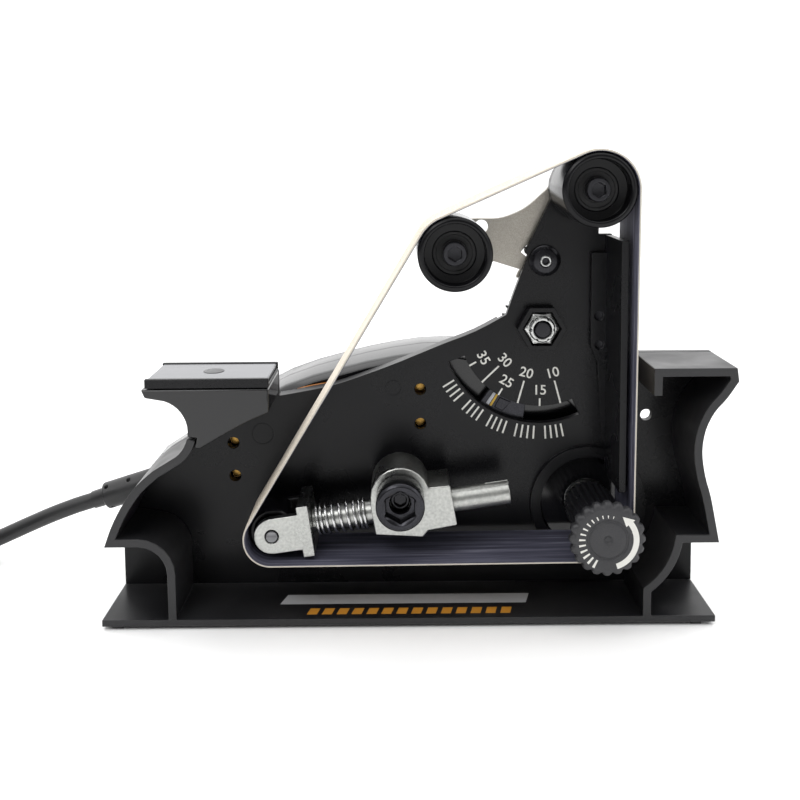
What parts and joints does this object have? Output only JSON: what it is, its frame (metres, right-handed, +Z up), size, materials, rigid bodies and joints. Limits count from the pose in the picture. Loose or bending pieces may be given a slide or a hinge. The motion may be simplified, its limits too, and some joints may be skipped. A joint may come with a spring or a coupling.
{
  "type": "belt grinder",
  "caption": "Small bench belt grinder: open housing, guide rollers on a tilting carrier with an angle scale, sprung tension arm, and a corded power unit behind.",
  "frame": {"origin": "on the bench under the centre of the housing and power unit's footprint, cord left out", "axes": "+X to the right along the housing's long front, +Y from the belt back towards the motor, +Z up"},
  "size_m": [0.3678, 0.1811, 0.1615],
  "materials": {
    "textured_black_moulding": "moulded, fine texture",
    "satin_black_moulding": "moulded, satin",
    "gloss_black_moulding": "moulded, gloss",
    "steel_plate": "bead blasted steel plate",
    "bright_steel": "ground and polished",
    "black_steel": "black oxide",
    "zinc_casting": "as cast, lightly tumbled",
    "abrasive_cloth": "resin bonded grit on cloth",
    "orange_trim": "moulded, gloss",
    "copper": "turned",
    "rubber": "moulded, matt"
  },
  "bodies": {
    "bench_unit": {"abrasive_belt": "abrasive_cloth", "accent_strip": "orange_trim", "bench_housing": "textured_black_moulding", "cord": "rubber", "cord_coil": "rubber", "cord_tail": "rubber", "front_shell": "gloss_black_moulding", "guide_nut": "steel_plate", "guide_screw": "black_steel", "left_rest_block": "gloss_black_moulding", "lock_nut": "bright_steel", "main_plate": "satin_black_moulding", "motor_cover": "satin_black_moulding", "platen": "satin_black_moulding", "platen_screw_1": "black_steel", "platen_screw_2": "black_steel", "plug_body": "rubber", "rear_foot_left": "rubber", "rear_foot_right": "rubber", "rear_shell": "gloss_black_moulding", "rest_plate": "bright_steel", "rest_tray": "satin_black_moulding", "shaft_bearing_front": "bright_steel", "shaft_bearing_rear": "bright_steel", "shell_screw_1": "black_steel", "shell_screw_2": "black_steel", "shell_screw_3": "black_steel", "stator": "steel_plate", "strain_relief": "rubber", "switch_body": "satin_black_moulding", "tension_block": "zinc_casting", "top_axle_nut": "steel_plate", "top_axle_screw": "black_steel", "top_bearing_front": "bright_steel", "top_bearing_rear": "bright_steel"},
    "drive": {"drive_pulley": "black_steel", "drive_shaft": "bright_steel", "rotor": "steel_plate", "commutator": "copper", "cooling_fan": "satin_black_moulding"},
    "drive_clamp": {"clamp_knob": "satin_black_moulding"},
    "upper_wheel": {"top_roller": "gloss_black_moulding"},
    "carrier": {"tilt_carrier": "steel_plate", "left_axle_screw": "black_steel", "left_axle_nut": "steel_plate", "left_bearing_front": "bright_steel", "left_bearing_rear": "bright_steel"},
    "tilting_wheel": {"left_roller": "gloss_black_moulding"},
    "pointer": {"angle_pointer": "steel_plate"},
    "tilt_lock": {"lock_knob": "satin_black_moulding", "lock_bolt": "black_steel"},
    "spring_seat": {"tension_spring": "bright_steel"},
    "tension_arm": {"tension_rod": "zinc_casting", "tension_pin": "bright_steel"},
    "tension_wheel": {"tension_roller": "gloss_black_moulding"},
    "tracking_adjuster": {"tracking_knob": "satin_black_moulding", "tracking_screw": "bright_steel"},
    "switch_trigger": {"trigger": "satin_black_moulding"},
    "trigger_lock": {"lock_button": "rubber"},
    "dial": {"speed_dial": "satin_black_moulding"}
  },
  "joints": [
    {"name": "drive_spin", "type": "hinge", "parent": "bench_unit", "child": "drive", "pos_m": [0.06247, 0, 0.0336], "axis": [0, 1, 0], "continuous": true},
    {"name": "clamp_knob_turn", "type": "hinge", "parent": "drive", "child": "drive_clamp", "pos_m": [0.06247, -0.0525, 0.0336], "axis": [0, 1, 0], "range_deg": [0, 360]},
    {"name": "top_roller_spin", "type": "hinge", "parent": "bench_unit", "child": "upper_wheel", "pos_m": [0.05977, -0.0395, 0.1482], "axis": [0, 1, 0], "continuous": true},
    {"name": "carrier_tilt", "type": "hinge", "parent": "bench_unit", "child": "carrier", "pos_m": [0.05977, -0.0199, 0.1482], "axis": [0, 1, 0], "range_deg": [-10, 15], "deforming": ["abrasive_belt"]},
    {"name": "left_roller_spin", "type": "hinge", "parent": "carrier", "child": "tilting_wheel", "pos_m": [0.01297, -0.0395, 0.1276], "axis": [0, 1, 0], "continuous": true},
    {"name": "pointer_turn", "type": "hinge", "parent": "bench_unit", "child": "pointer", "pos_m": [0.04497, -0.0199, 0.09835], "axis": [0, 1, 0], "range_deg": [-45, 30]},
    {"name": "lock_knob_turn", "type": "hinge", "parent": "bench_unit", "child": "tilt_lock", "pos_m": [0.04497, -0.0125, 0.09835], "axis": [0, 1, 0], "range_deg": [-180, 180]},
    {"name": "tension_slide", "type": "slide", "parent": "bench_unit", "child": "spring_seat", "axis": [0.9903, 0, 0.1392], "range_m": [0, 0.01], "stiffness_N_per_m": 1200, "springref_m": -0.002, "deforming": ["tension_spring", "abrasive_belt"]},
    {"name": "tension_arm_twist", "type": "hinge", "parent": "spring_seat", "child": "tension_arm", "pos_m": [-0.04903, -0.0398, 0.0323], "axis": [0.9903, 0, 0.1392], "range_deg": [-3, 3]},
    {"name": "tension_roller_spin", "type": "hinge", "parent": "tension_arm", "child": "tension_wheel", "pos_m": [-0.04903, -0.0398, 0.0323], "axis": [0, 1, 0], "continuous": true},
    {"name": "tracking_knob_turn", "type": "hinge", "parent": "bench_unit", "child": "tracking_adjuster", "pos_m": [-0.00563, -0.0525, 0.045], "axis": [0, 1, 0], "range_deg": [-90, 90]},
    {"name": "trigger_pull", "type": "slide", "parent": "bench_unit", "child": "switch_trigger", "axis": [0, 0, 1], "range_m": [0, 0.004], "stiffness_N_per_m": 600, "springref_m": -0.001},
    {"name": "lock_button_press", "type": "slide", "parent": "bench_unit", "child": "trigger_lock", "axis": [0, -1, 0], "range_m": [0, 0.002], "stiffness_N_per_m": 500, "springref_m": -0.0005},
    {"name": "speed_dial_turn", "type": "hinge", "parent": "bench_unit", "child": "dial", "pos_m": [-0.04903, 0.0215, 0.0565], "axis": [0, 1, 0], "range_deg": [0, 270]}
  ],
  "couplings": [
    {"joint": "top_roller_spin", "follows": "drive_spin", "ratio": 0.72358},
    {"joint": "left_roller_spin", "follows": "drive_spin", "ratio": 0.72358},
    {"joint": "tension_roller_spin", "follows": "drive_spin", "ratio": 1.0723},
    {"joint": "pointer_turn", "follows": "carrier_tilt", "ratio": -3},
    {"joint": "tension_arm_twist", "follows": "tracking_knob_turn", "ratio": 0.033333}
  ]
}
